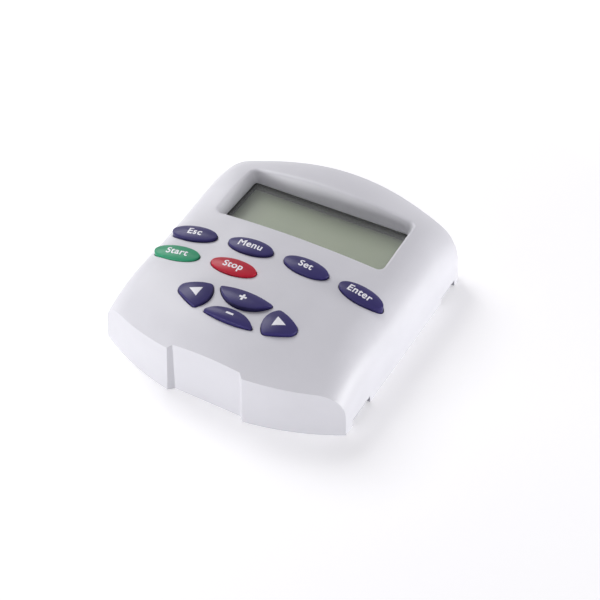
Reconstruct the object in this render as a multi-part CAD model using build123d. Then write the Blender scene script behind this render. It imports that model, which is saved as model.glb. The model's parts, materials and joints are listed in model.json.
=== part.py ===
"""Control keypad: a low arched desk or wall unit with a sunken display and ten domed keys.

Axes: +X runs to the right along the key rows, +Y from the keys towards the display,
+Z up out of the face. The origin is at the middle of the base. Millimetres.
"""
from build123d import *
import math
import os

# ------------------------------------------------------------------ overall form
BODY_LENGTH = 113.2          # apex of the front arc to apex of the back arc, at the base
FRONT_WIDTH = 95.2           # across the base at the front corners
BACK_WIDTH = 102.0           # across the base at the back corners
FRONT_CORNER_Y = -45.0
BACK_CORNER_Y = 44.0
CROWN_HEIGHT = 26.4          # face height on the centre line at y = 0
FACE_SLOPE = 0.018           # the face climbs this much per mm towards the display
FACE_CROWN_RADIUS = 310.0    # sideways bulge of the face
BULGE_REFERENCE = 34.0       # the bulge of each cross section is struck through this x
SIDE_ROLL_RADIUS = 14.0      # rolled edge between face and side wall
SIDE_DRAFT = 4.0             # degrees
END_DRAFT = 5.0              # degrees, front and back walls
FRONT_ARC_RADIUS = 97.5
BACK_ARC_RADIUS = 109.0
FRONT_ROLL_LENGTH = 19.6     # how far from the front apex the face starts to roll down
FRONT_ROLL_RADIUS = 28.0
BACK_ROLL_LENGTH = 18.6
BACK_ROLL_RADIUS = 40.0
BACK_ROLL_ARC_RADIUS = 75.0
BACK_EDGE_FILLET = 5.0
WALL = 2.2

# the shallow flat in the middle of the front wall
RECESS_HALF_WIDTH = 12.9
RECESS_DEPTH = 2.9           # behind the apex of the front arc, at the base
RECESS_LEAN = 0.06           # the flat leans back by this much per mm of height
RECESS_SPREAD = 1.1          # its ends open out by this much per mm

# ------------------------------------------------------------------ display
WINDOW_WIDTH = 64.6          # clear opening at the window
WINDOW_FRONT_Y = 10.0
WINDOW_BACK_Y = 35.6
WINDOW_DEPTH = 7.0           # window below the face
WELL_FLARE = 19.0            # degrees, slope of the well's side and back walls
WELL_FRONT_FLARE = 12.0      # degrees, slope of its front wall
WELL_CORNER = 3.4            # corner radius of the well at its mouth
WINDOW_CORNER = 1.2
WELL_LIP_FILLET = 1.2
WELL_WALL = 1.6
LENS_THICKNESS = 1.5
GASKET_THICKNESS = 2.0
GASKET_INSET = 0.2           # gasket's outer edge behind the window's
GASKET_LIP = 0.2             # its opening past the well's floor on each side
BEZEL_SHEET = 0.5
BEZEL_BORDER = 3.4           # bezel past the window on each side
BEZEL_SETBACK = 0.4          # bezel's opening past the window on each side
GLASS_PLATE = 1.2            # the display glass is two plates
GLASS_LEDGE = 2.6
GLASS_GAP = 0.3              # glass to bezel skirt
BACKLIGHT_THICKNESS = 3.0
STRIP_WIDTH = 1.8
STRIP_LENGTH = 58.0
BOARD_THICKNESS = 1.6
LCD_BOARD_WIDTH = 86.4
RESIN_RADIUS = 5.5           # resin over the display driver chips
RESIN_HEIGHT = 1.2
LCD_BOARD_LENGTH = 37.6

# ------------------------------------------------------------------ keys
KEY_LENGTH = 18.0
KEY_HEIGHT = 8.0
KEY_PITCH = 22.15
KEY_ARC_RADIUS = 260.0       # both key rows bend gently round this radius
TOP_ROW_Y = -3.9
SECOND_ROW_Y = -15.7
KEY_GAP = 0.25               # key to aperture, all round
KEY_RIM_RISE = 0.75          # rim of a key above the face
KEY_DOME_RISE = 1.0          # crown of a key above its rim
KEY_RIM_FILLET = 0.35
KEY_TRAVEL = 1.0
KEY_FLANGE = 0.55            # flange past the key's side
KEY_FLANGE_THICKNESS = 0.8
KEY_FLANGE_GAP = 0.3         # flange to the inside of the face
KEY_FOOT_INSET = 0.8
PAD_CENTRE_Y = -32.0         # cursor pad: four keys in one lens-shaped outline
PAD_HALF_WIDTH = 25.3
PAD_HALF_HEIGHT = 7.8
PAD_CORNER_FILLET = 0.9
PAD_SPLIT_Y = -32.9          # between the plus and minus keys
PAD_SPLIT_GAP = 1.6
PAD_PLUS_RADIUS = 12.1
PAD_MINUS_RADIUS = 13.2
PAD_SIDE_GROWTH = 0.7        # the left and right keys stand out of the lens
PAD_SIDE_DROP = 0.3
PAD_SIDE_INNER_X = 10.3
PAD_SIDE_RADIUS = 8.6
PAD_SIDE_FILLET = 1.6
PAD_TIP_FILLET = 3.0
PAD_DISH_DEPTH = 0.5
PAD_DISH_MARGIN = 4.4
PILL_RADIUS = 1.6
PILL_THICKNESS = 0.4
CONTACT_THICKNESS = 0.1
CONTACT_STOP_GAP = 0.05      # pill to contact at the end of the travel
CONTACT_RADIUS = 2.2
MAT_THICKNESS = 0.8
MAT_COLLAR_HEIGHT = 2.1
MAT_COLLAR_WALL = 0.7
MAT_KEY_GAP = 0.3
KEY_BOARD_DROP = 9.4             # key board's top below the crown of the face
KEY_BOARD_FRONT_Y = -43.0
KEY_BOARD_BACK_Y = 5.6

# ------------------------------------------------------------------ bosses, boards and fasteners
BOARD_INSET = 1.8            # boards to the inside of the walls
MAIN_BOARD_TOP = 6.2
MAIN_BOARD_BACK_GAP = 7.6        # main board's back edge to the apex of the back arc
SCREW_RADIUS = 1.25
SCREW_HEAD_RADIUS = 2.3
SCREW_HEAD = 1.4
SCREW_GAP = 0.05
BOARD_HOLE_GAP = 0.15
BOSS_RADIUS = 2.9
BOSS_PILOT_DEPTH = 3.4
STUD_LENGTH = 2.8            # screws and studs reach this far into a boss
STANDOFF_RADIUS = 2.9        # across the corners of the hexagon
STANDOFF_BORE_DEPTH = 3.2
STANDOFF_FLOOR = 0.6
SCREW_END_GAP = 0.2          # screw's end to the bottom of its bore
FRONT_BOSSES = [(-36.0, -35.0), (36.0, -35.0)]
MIDDLE_BOSSES = [(-22.15, 2.4), (22.15, 2.4)]
REAR_BOSSES = [(-39.8, 9.0), (39.8, 9.0), (-39.8, 36.6), (39.8, 36.6)]
RIB_DEPTH = 1.4
RIB_WIDTH = 1.2
SIDE_RIBS_Y = [-18.0, -2.0, 14.0]
END_RIBS_X = [-34.0, -22.0, 22.0, 34.0]
RIB_TOP = 15.0

# ------------------------------------------------------------------ back cover
COVER_THICKNESS = 2.0
COVER_GAP = 0.25
COVER_RIM_WALL = 1.2
COVER_RIM_HEIGHT = 1.6
COVER_RIB_HEIGHT = 0.9
SLOT_CENTRES = [-33.2, 33.0]     # latch slots in the lower edge of both side walls
SLOT_LENGTH = 11.6
SLOT_HEIGHT = 2.8
TAB_SETBACK = 1.0                # cover tab behind the outer wall
TAB_SHORT = 1.3                  # the tab stops short at the display end of the slot
HOOK_WIDTH = 8.0
HOOK_THICKNESS = 1.3
HOOK_STANDOFF = 1.3              # tongue to wall
HOOK_REACH = 0.95                # barb past the tongue
HOOK_TOP = 9.4
LEDGE_DEPTH = 0.9
LEDGE_LOW = 5.8
LEDGE_HIGH = 7.1
LEDGE_GAP = 0.25                 # barb above ledge
HOOK_CLEARANCE = 0.6             # main board to tongue
KEYHOLE_X = 26.0
KEYHOLE_Y = 16.0
KEYHOLE_ENTRY_RADIUS = 4.0
KEYHOLE_SLOT_RADIUS = 2.1
KEYHOLE_TRAVEL = 8.0

# ------------------------------------------------------------------ socket and components
SOCKET_WAYS = 4
SOCKET_PITCH = 5.0
SOCKET_HEIGHT = 8.6
SOCKET_WALL = 1.2
SOCKET_FLOOR = 1.8
SOCKET_DEPTH = 11.2
SOCKET_NOSE_SETBACK = 2.2        # nose to the apex of the back arc
SOCKET_GAP = 0.3                 # socket to the opening in the wall
PIN_SIDE = 0.64
SOCKET_PIN_SIDE = 1.0
SOCKET_PIN_REACH = 5.0
HEADER_PITCH = 2.54
HEADER_DEPTH = 2.5
HEADER_BODY = 2.5
HEADER_EDGE = 1.3                # header pins to the edge of their board

FRONT_Y = -BODY_LENGTH / 2
BACK_Y = BODY_LENGTH / 2
KEY_BOARD_TOP = CROWN_HEIGHT - KEY_BOARD_DROP
MAIN_BOARD_BACK_Y = BACK_Y - MAIN_BOARD_BACK_GAP
SOCKET_NOSE_Y = BACK_Y - SOCKET_NOSE_SETBACK
SOCKET_BACK_Y = SOCKET_NOSE_Y - SOCKET_DEPTH
FRONT_ROLL_START = FRONT_Y + FRONT_ROLL_LENGTH
BACK_ROLL_START = BACK_Y - BACK_ROLL_LENGTH
WINDOW_LENGTH = WINDOW_BACK_Y - WINDOW_FRONT_Y
WINDOW_Y = (WINDOW_FRONT_Y + WINDOW_BACK_Y) / 2
LCD_HEADER = (14, -18.0, WINDOW_Y + LCD_BOARD_LENGTH / 2 - HEADER_EDGE)   # ways, middle x, y
KEY_HEADER = (12, 0.0, KEY_BOARD_FRONT_Y + HEADER_EDGE + 0.8)
ROOM = 300.0                     # larger than the object, for cutting blocks
UP = (0, 0, 1)
OVER = (Align.CENTER, Align.CENTER, Align.MIN)
UNDER = (Align.CENTER, Align.CENTER, Align.MAX)


# ------------------------------------------------------------------ small helpers
def slab(low, high):
    """Everything between two heights."""
    return Pos(0, 0, low) * Box(ROOM, ROOM, high - low, align=OVER)


def block(x0, x1, y0, y1, z0, z1):
    """A box given by its limits."""
    return Pos(x0, y0, z0) * Box(x1 - x0, y1 - y0, z1 - z0, align=(Align.MIN, Align.MIN, Align.MIN))


def post(x, y, radius, low, high):
    """An upright cylinder."""
    height = high - low
    return Pos(x, y, low) * Cylinder(radius, height, align=OVER)


def prism(outline, low, high):
    """A flat outline drawn up between two heights."""
    return extrude(Pos(0, 0, low) * outline, high - low, dir=UP)


def rounded_rectangle(width, length, radius, centre_y):
    """A rectangle with rounded corners, on the centre line."""
    return Pos(0, centre_y) * RectangleRounded(width, length, radius)


def write(name, shape):
    """Save one node."""
    solids = shape if isinstance(shape, list) else shape.solids()
    part = solids[0] if len(solids) == 1 else Compound(children=list(solids))
    export_step(part, os.path.join("parts", name + ".step"))


# ------------------------------------------------------------------ outer form
def half_width(y):
    """Half width of the base at y."""
    share = (y - FRONT_CORNER_Y) / (BACK_CORNER_Y - FRONT_CORNER_Y)
    return (FRONT_WIDTH + (BACK_WIDTH - FRONT_WIDTH) * share) / 2


def roll_drop(run, radius):
    """How far an end roll of this radius has dropped after this run."""
    return max(run, 0.0)**2 / (2 * radius)


def face_z(x, y):
    """Height of the outer face inside the rolled side edges. Both end rolls follow their arcs."""
    front_run = FRONT_ROLL_START - y + x**2 / (2 * FRONT_ARC_RADIUS)
    back_run = y - BACK_ROLL_START + x**2 / (2 * BACK_ROLL_ARC_RADIUS)
    drop = roll_drop(front_run, FRONT_ROLL_RADIUS) + roll_drop(back_run, BACK_ROLL_RADIUS)
    return CROWN_HEIGHT + FACE_SLOPE * y - drop - x**2 / (2 * FACE_CROWN_RADIUS)


def bulge_radius(y):
    """Radius of the face across the body at y."""
    drop = face_z(0, y) - face_z(BULGE_REFERENCE, y)
    return (BULGE_REFERENCE**2 + drop**2) / (2 * drop)


def face_plane(x, y, depth=0.0):
    """A plane lying on the face at x, y, or that far under it."""
    lean = -x / FACE_CROWN_RADIUS
    normal = Vector(-lean, -FACE_SLOPE, 1).normalized()
    point = Vector(x, y, face_z(x, y)) - normal * depth
    return Plane(origin=point, x_dir=(1, 0, lean), z_dir=normal)


def inner_wall_x(y, z):
    """The inside of the right-hand wall, below its rolled edge."""
    draft = math.radians(SIDE_DRAFT)
    return half_width(y) - z * math.tan(draft) - WALL / math.cos(draft)


def cross_section(y, inset):
    """Closed outline across the body at y: base, drafted walls, rolled edges and bulged face."""
    draft = math.radians(SIDE_DRAFT)
    lean = math.tan(draft)
    wall_x = half_width(y) - inset / math.cos(draft)
    top = face_z(0, y) - inset
    bulge = bulge_radius(y) - inset
    bulge_z = top - bulge
    roll = SIDE_ROLL_RADIUS - inset
    # the roll's centre lies a roll radius inside the wall and inside the bulge
    reach = wall_x - roll / math.cos(draft)
    a = 1 + lean**2
    b = reach * lean + bulge_z
    c = reach**2 + bulge_z**2 - (bulge - roll)**2
    roll_z = (b + math.sqrt(b**2 - a * c)) / a
    roll_x = reach - lean * roll_z
    face_angle = math.atan2(roll_z - bulge_z, roll_x)
    mid_angle = (draft + face_angle) / 2
    foot = -1.0
    right = [
        Vector(wall_x - lean * foot, y, foot),
        Vector(roll_x + roll * math.cos(draft), y, roll_z + roll * math.sin(draft)),
        Vector(roll_x + roll * math.cos(mid_angle), y, roll_z + roll * math.sin(mid_angle)),
        Vector(bulge * math.cos(face_angle), y, bulge_z + bulge * math.sin(face_angle)),
    ]
    left = [Vector(-p.X, p.Y, p.Z) for p in right]
    return Wire([
        Line(left[0], right[0]),
        Line(right[0], right[1]),
        ThreePointArc(right[1], right[2], right[3]),
        ThreePointArc(right[3], Vector(0, y, top), left[3]),
        ThreePointArc(left[3], left[2], left[1]),
        Line(left[1], left[0]),
    ])


def end_cone(radius, centre_y, inset):
    """Everything inside one drafted end arc."""
    height = 40.0
    foot = -2.0
    slip = math.tan(math.radians(END_DRAFT))
    base = radius - inset - foot * slip
    cone = Cone(base, base - height * slip, height, align=OVER)
    return Pos(0, centre_y, foot) * cone


def front_recess(inset):
    """The block that the flat in the front wall takes out of the body."""
    flat_y = FRONT_Y + RECESS_DEPTH + inset
    outer_y = FRONT_Y - 5
    half = RECESS_HALF_WIDTH + inset
    outer_half = half + (flat_y - outer_y) * RECESS_SPREAD
    corners = [(-half, flat_y), (half, flat_y), (outer_half, outer_y), (-outer_half, outer_y)]
    low = 3
    floor = Pos(0, -low * RECESS_LEAN, -low) * make_face(Polyline(corners, close=True))
    return extrude(floor, 45, dir=(0, RECESS_LEAN, 1))


def loft_stations():
    """Where the cross sections stand: close together on the two end rolls."""
    front = [FRONT_Y - 1.4 + (FRONT_ROLL_LENGTH + 1.4) * i / 5 for i in range(6)]
    back = [BACK_ROLL_START + (BACK_ROLL_LENGTH + 2) * i / 3 for i in range(4)]
    middle = [front[-1] + (back[0] - front[-1]) * i / 3 for i in (1, 2)]
    return front + middle + back


def body_form(inset):
    """The outer form as a solid, moved in by inset, with its rounded back edge."""
    form = Solid.make_loft([cross_section(y, inset) for y in loft_stations()])
    form = form & end_cone(FRONT_ARC_RADIUS, FRONT_Y + FRONT_ARC_RADIUS, inset)
    form = form & end_cone(BACK_ARC_RADIUS, BACK_Y - BACK_ARC_RADIUS, inset)
    back_edges = [e for e in form.edges() if e.center().Y > BACK_ROLL_START and e.center().Z > 15]
    form = fillet(back_edges, max(BACK_EDGE_FILLET - inset, 0.8))
    return form - front_recess(inset)


# ------------------------------------------------------------------ display well
def well(spread, low, high):
    """The flared well above the window, grown outwards by spread, between two heights."""
    rise = (low - well_floor(), high - well_floor())
    sections = []
    for climb, height in zip(rise, (low, high)):
        side = math.tan(math.radians(WELL_FLARE)) * climb + spread
        front = math.tan(math.radians(WELL_FRONT_FLARE)) * climb + spread
        length = WINDOW_LENGTH + side + front
        share = climb / WINDOW_DEPTH
        radius = max(WINDOW_CORNER + (WELL_CORNER - WINDOW_CORNER) * share, 0.3) + spread
        outline = rounded_rectangle(WINDOW_WIDTH + 2 * side, length, radius, WINDOW_Y + (side - front) / 2)
        sections.append(Pos(0, 0, height) * outline)
    return loft(sections)


def well_floor():
    """Height of the window's outer surface."""
    return face_z(0, WINDOW_Y) - WINDOW_DEPTH


# ------------------------------------------------------------------ keys
def lens_outline(half_width, half_height):
    """Two equal arcs meeting in points."""
    radius = (half_width**2 + half_height**2) / (2 * half_height)
    offset_y = radius - half_height
    return (Pos(0, -offset_y) * Circle(radius)) & (Pos(0, offset_y) * Circle(radius))


class RowKey:
    """An oval key. Columns are counted in half pitches from the middle."""

    def __init__(self, column, row_y):
        self.x = column * KEY_PITCH / 2
        self.y = row_y - self.x**2 / (2 * KEY_ARC_RADIUS)
        self.lean = -math.degrees(math.asin(self.x / KEY_ARC_RADIUS))
        self.half_size = (KEY_LENGTH / 2, KEY_HEIGHT / 2)

    def outline(self, margin=0.0):
        """The aperture's outline, grown by a margin."""
        oval = Ellipse(KEY_LENGTH / 2 + margin, KEY_HEIGHT / 2 + margin)
        return Pos(self.x, self.y) * Rot(0, 0, self.lean) * oval


class PadKey:
    """A key of the cursor pad, from its aperture's outline."""

    def __init__(self, aperture):
        self.aperture = aperture
        box = aperture.bounding_box()
        self.x = box.center().X
        self.y = box.center().Y
        self.lean = 0.0
        self.half_size = (box.size.X / 2, box.size.Y / 2)

    def outline(self, margin=0.0):
        """The aperture's outline, grown by a margin."""
        if margin == 0:
            return self.aperture
        return offset(self.aperture, margin, kind=Kind.TANGENT)


def pad_side_key(side):
    """The pad's left (-1) or right (+1) key: one end of a fuller lens, closed by an arc towards the middle."""
    centre_y = PAD_CENTRE_Y - PAD_SIDE_DROP
    lens = Pos(0, centre_y) * lens_outline(PAD_HALF_WIDTH, PAD_HALF_HEIGHT + PAD_SIDE_GROWTH)
    cut = Pos(side * (PAD_SIDE_INNER_X + PAD_SIDE_RADIUS), centre_y) * Circle(PAD_SIDE_RADIUS)
    outline = lens & cut
    tip = outline.vertices().sort_by(Axis.X)[-1 if side > 0 else 0]
    corners = [v for v in outline.vertices() if abs(v.X) < abs(tip.X) - 1]
    outline = fillet(corners, PAD_SIDE_FILLET)
    tip = outline.vertices().sort_by(Axis.X)[-1 if side > 0 else 0]
    return PadKey(fillet(tip, PAD_TIP_FILLET))


def pad_middle_key(side):
    """The pad's upper (+1) or lower (-1) key: a side of the lens, closed by a deeper arc."""
    lens = Pos(0, PAD_CENTRE_Y) * lens_outline(PAD_HALF_WIDTH, PAD_HALF_HEIGHT)
    radius = PAD_PLUS_RADIUS if side > 0 else PAD_MINUS_RADIUS
    arc_y = PAD_SPLIT_Y + side * (PAD_SPLIT_GAP / 2 + radius)
    outline = lens & (Pos(0, arc_y) * Circle(radius))
    return PadKey(fillet(outline.vertices(), PAD_CORNER_FILLET))


def key_layout():
    """Every key by name."""
    return {
        "esc": RowKey(-3, TOP_ROW_Y),
        "menu": RowKey(-1, TOP_ROW_Y),
        "set": RowKey(1, TOP_ROW_Y),
        "enter": RowKey(3, TOP_ROW_Y),
        "start": RowKey(-3, SECOND_ROW_Y),
        "stop": RowKey(-1, SECOND_ROW_Y),
        "left": pad_side_key(-1),
        "right": pad_side_key(1),
        "plus": pad_middle_key(1),
        "minus": pad_middle_key(-1),
    }


def pill_levels():
    """Bottom and top of a key's contact pill, at rest."""
    low = KEY_BOARD_TOP + CONTACT_THICKNESS + CONTACT_STOP_GAP + KEY_TRAVEL
    return low, low + PILL_THICKNESS


def dome_barrel(half_size):
    """A barrel along X whose top falls by the dome's rise at both half sizes. Its crown is at z = 0."""
    long_radius, cross_radius = [(half**2 + KEY_DOME_RISE**2) / (2 * KEY_DOME_RISE) for half in half_size]
    reach = half_size[0] * 1.3
    fall = long_radius - math.sqrt(long_radius**2 - reach**2)
    top = ThreePointArc((-reach, 0, -fall), (0, 0, 0), (reach, 0, -fall))
    sides = Polyline((reach, 0, -fall), (reach, 0, -cross_radius), (-reach, 0, -cross_radius), (-reach, 0, -fall))
    axis = Axis((0, 0, -cross_radius), (1, 0, 0))
    return revolve(make_face([top, sides]), axis, 360)


def above_face(edge):
    """How far the middle of an edge stands above the face."""
    middle = edge @ 0.5
    return middle.Z - face_z(middle.X, middle.Y)


def key_room(keys):
    """The room that the row keys have under the face: the narrowest cross section that they meet."""
    low_y = min(key.y - KEY_HEIGHT for key in keys.values() if isinstance(key, RowKey))
    section = make_face(cross_section(low_y, WALL + KEY_FLANGE_GAP))
    return extrude(section, TOP_ROW_Y + KEY_HEIGHT - low_y, dir=(0, 1, 0))


def key_solid(key, limit):
    """A key: domed cap, flange under the face and a foot that carries the pill."""
    foot_z = pill_levels()[1]
    on_face = Location(face_plane(key.x, key.y))
    crown = KEY_RIM_RISE + KEY_DOME_RISE
    dome = on_face * Rot(0, 0, key.lean) * Pos(0, 0, crown) * dome_barrel(key.half_size)
    flange_low = WALL + KEY_FLANGE_GAP + KEY_FLANGE_THICKNESS
    above_flange = on_face * Pos(0, 0, -flange_low) * Box(60, 60, 40, align=OVER)
    cap = prism(key.outline(-KEY_GAP), foot_z, 40) & above_flange & dome
    rim = [e for e in cap.edges() if above_face(e) > 0 and e.length > 3 * KEY_RIM_FILLET]
    cap = fillet(rim, KEY_RIM_FILLET)
    flange = prism(key.outline(KEY_FLANGE - KEY_GAP), foot_z, 40) & above_flange
    flange = flange & (on_face * Pos(0, 0, -WALL - KEY_FLANGE_GAP) * Box(60, 60, 40, align=UNDER))
    foot = prism(key.outline(-KEY_FOOT_INSET), foot_z, face_z(key.x, key.y) - WALL - KEY_FLANGE_GAP)
    if isinstance(key, RowKey):
        flange = flange & limit
        foot = foot & limit
    return cap + flange + foot


# ------------------------------------------------------------------ shell parts
def socket_half_width():
    """Half the outer width of the plug socket."""
    return SOCKET_WAYS * SOCKET_PITCH / 2 + SOCKET_WALL


def hook_profile(centre_y):
    """Snap hook on the right-hand side, drawn across the body."""
    def at(off, z):
        return (inner_wall_x(centre_y, z) - off, z)
    barb_z = LEDGE_HIGH + LEDGE_GAP
    outer = HOOK_STANDOFF
    inner = HOOK_STANDOFF + HOOK_THICKNESS
    points = [at(inner, COVER_THICKNESS - 0.5), at(outer, COVER_THICKNESS - 0.5), at(outer, barb_z),
              at(outer - HOOK_REACH, barb_z), at(outer - HOOK_REACH, barb_z + 0.4),
              at(outer + 0.3, HOOK_TOP), at(inner, HOOK_TOP)]
    return points


def side_rib_profile(y):
    """A stiffening rib on the right-hand wall, drawn across the body."""
    embed = WALL / 2
    low, high = inner_wall_x(y, COVER_THICKNESS), inner_wall_x(y, RIB_TOP)
    return [(low + embed, COVER_THICKNESS), (low - RIB_DEPTH, COVER_THICKNESS),
            (high - RIB_DEPTH, RIB_TOP - RIB_DEPTH), (high + embed, RIB_TOP)]


def end_ribs(x):
    """Stiffening ribs inside the front and back walls at x."""
    ribs = None
    embed = WALL / 2
    for wall, radius, inward in ((FRONT_Y, FRONT_ARC_RADIUS, 1), (BACK_Y, BACK_ARC_RADIUS, -1)):
        arc_y = wall + inward * (radius - math.sqrt(radius**2 - x**2))
        slip = math.tan(math.radians(END_DRAFT))
        low = arc_y + inward * (COVER_THICKNESS * slip + WALL)
        high = arc_y + inward * (RIB_TOP * slip + WALL)
        points = [(low - inward * embed, COVER_THICKNESS), (low + inward * RIB_DEPTH, COVER_THICKNESS),
                  (high + inward * RIB_DEPTH, RIB_TOP - RIB_DEPTH), (high - inward * embed, RIB_TOP)]
        outline = make_face(Polyline([(x - RIB_WIDTH / 2, y, z) for y, z in points], close=True))
        rib = extrude(outline, RIB_WIDTH, dir=(1, 0, 0))
        ribs = rib if ribs is None else ribs + rib
    return ribs


def across(points, centre_y, width):
    """Draw an outline given as x, z along the body, centred on y."""
    sketch = make_face(Polyline([(x, centre_y - width / 2, z) for x, z in points], close=True))
    return extrude(sketch, width, dir=(0, 1, 0))


def both_sides(shape):
    """A right-hand feature and its mirror image."""
    return shape + mirror(shape, Plane.YZ)


def front_housing(outer, cavity, keys):
    """The moulded front shell."""
    shell = outer - cavity
    floor = well_floor()
    shell += well(WELL_WALL, floor, floor + WINDOW_DEPTH + 3) & outer
    lcd_top = lcd_levels()["board_top"]
    for places, low in ((FRONT_BOSSES, KEY_BOARD_TOP), (MIDDLE_BOSSES, KEY_BOARD_TOP), (REAR_BOSSES, lcd_top)):
        for x, y in places:
            shell += post(x, y, BOSS_RADIUS, low, CROWN_HEIGHT) & outer
    for y in SIDE_RIBS_Y:
        shell += both_sides(across(side_rib_profile(y), y, RIB_WIDTH))
    for x in END_RIBS_X:
        shell += end_ribs(x)
    for centre in SLOT_CENTRES:
        ledge = [(inner_wall_x(centre, LEDGE_LOW) + 0.6, LEDGE_LOW - 0.6),
                 (inner_wall_x(centre, LEDGE_LOW) - LEDGE_DEPTH, LEDGE_LOW),
                 (inner_wall_x(centre, LEDGE_HIGH) - LEDGE_DEPTH, LEDGE_HIGH),
                 (inner_wall_x(centre, LEDGE_HIGH) + 0.6, LEDGE_HIGH)]
        shell += both_sides(across(ledge, centre, HOOK_WIDTH + 2))
    shell -= well(0, floor - 0.01, floor + WINDOW_DEPTH + 4)
    mouth_x = WINDOW_WIDTH / 2 + WINDOW_DEPTH * math.tan(math.radians(WELL_FLARE)) + 1
    lip = [e for e in shell.edges() if above_face(e) > -0.6 and abs((e @ 0.5).X) < mouth_x
           and WINDOW_FRONT_Y - 5 < (e @ 0.5).Y < WINDOW_BACK_Y + 5]
    shell = fillet(lip, WELL_LIP_FILLET)
    shell -= pad_dish()
    for key in keys.values():
        shell -= prism(key.outline(), KEY_BOARD_TOP + MAT_THICKNESS, 40)
    for places, low in ((FRONT_BOSSES, KEY_BOARD_TOP), (MIDDLE_BOSSES, KEY_BOARD_TOP), (REAR_BOSSES, lcd_top)):
        for x, y in places:
            shell -= post(x, y, SCREW_RADIUS + SCREW_GAP, low - 1, low + BOSS_PILOT_DEPTH)
    for centre in SLOT_CENTRES:
        shell -= block(-ROOM, ROOM, centre - SLOT_LENGTH / 2, centre + SLOT_LENGTH / 2, -1, SLOT_HEIGHT)
    half = socket_half_width() + SOCKET_GAP
    shell -= block(-half, half, SOCKET_BACK_Y, ROOM, MAIN_BOARD_TOP - SOCKET_GAP,
                   MAIN_BOARD_TOP + SOCKET_HEIGHT + SOCKET_GAP)
    return shell


def pad_dish():
    """The shallow dish round the cursor pad."""
    depth_share = 0.08
    height = PAD_DISH_DEPTH / depth_share
    swell = math.sqrt(1 - (1 - depth_share)**2)
    dish = scale(Sphere(1), by=((PAD_HALF_WIDTH + PAD_DISH_MARGIN) / swell,
                                (PAD_HALF_HEIGHT + PAD_DISH_MARGIN) / swell, height))
    return Location(face_plane(0, PAD_CENTRE_Y)) * Pos(0, 0, height - PAD_DISH_DEPTH) * dish


def back_cover(outer):
    """The snap-in back, flush with the lower edge of the housing."""
    plate_form = body_form(WALL + COVER_GAP)
    cover = plate_form & slab(0, COVER_THICKNESS)
    rim = (plate_form - body_form(WALL + COVER_GAP + COVER_RIM_WALL))
    rim = rim & slab(COVER_THICKNESS - 0.5, COVER_THICKNESS + COVER_RIM_HEIGHT)
    for y in SIDE_RIBS_Y:
        rim -= block(-ROOM, ROOM, y - RIB_WIDTH, y + RIB_WIDTH, COVER_THICKNESS, ROOM)
    for x in END_RIBS_X:
        rim -= block(x - RIB_WIDTH, x + RIB_WIDTH, -ROOM, ROOM, COVER_THICKNESS, ROOM)
    tab_form = body_form(TAB_SETBACK) & slab(0, COVER_THICKNESS)
    for centre in SLOT_CENTRES:
        low_y = centre - SLOT_LENGTH / 2
        high_y = centre + SLOT_LENGTH / 2
        rim -= block(-ROOM, ROOM, low_y, high_y, COVER_THICKNESS, ROOM)
        cover += tab_form & block(-ROOM, ROOM, low_y + COVER_GAP, high_y - TAB_SHORT, 0, COVER_THICKNESS)
        cover += both_sides(across(hook_profile(centre), centre, HOOK_WIDTH))
    cover += rim
    rib_high = COVER_THICKNESS + COVER_RIB_HEIGHT
    for x in (-13.0, 13.0):
        cover += block(x - 0.6, x + 0.6, -38, 40, COVER_THICKNESS - 0.5, rib_high)
    for y in (-24.0, 0.0, 34.0):
        cover += block(-38, 38, y - 0.6, y + 0.6, COVER_THICKNESS - 0.5, rib_high)
    for x in (-KEYHOLE_X, KEYHOLE_X):
        cover -= post(x, KEYHOLE_Y, KEYHOLE_ENTRY_RADIUS, -1, ROOM)
        slot = Pos(x, KEYHOLE_Y + KEYHOLE_TRAVEL / 2) * Rot(0, 0, 90) * SlotCenterToCenter(
            KEYHOLE_TRAVEL, 2 * KEYHOLE_SLOT_RADIUS)
        cover -= prism(slot, -1, ROOM)
    return cover


# ------------------------------------------------------------------ display stack
def lcd_levels():
    """Heights of the display stack, from the window down."""
    lens_low = well_floor() - LENS_THICKNESS
    bezel_top = lens_low - GASKET_THICKNESS
    glass_top = bezel_top - BEZEL_SHEET
    glass_low = glass_top - 2 * GLASS_PLATE
    board_top = glass_low - BACKLIGHT_THICKNESS
    return {
        "lens_low": lens_low,
        "bezel_top": bezel_top,
        "glass_top": glass_top,
        "ledge": glass_top - GLASS_PLATE,
        "glass_low": glass_low,
        "board_top": board_top,
        "board_low": board_top - BOARD_THICKNESS,
    }


def display_plate(grow, low, high):
    """A flat plate of the window's outline grown by a margin."""
    outline = Pos(0, WINDOW_Y) * Rectangle(WINDOW_WIDTH + 2 * grow, WINDOW_LENGTH + 2 * grow)
    return prism(outline, low, high)


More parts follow.
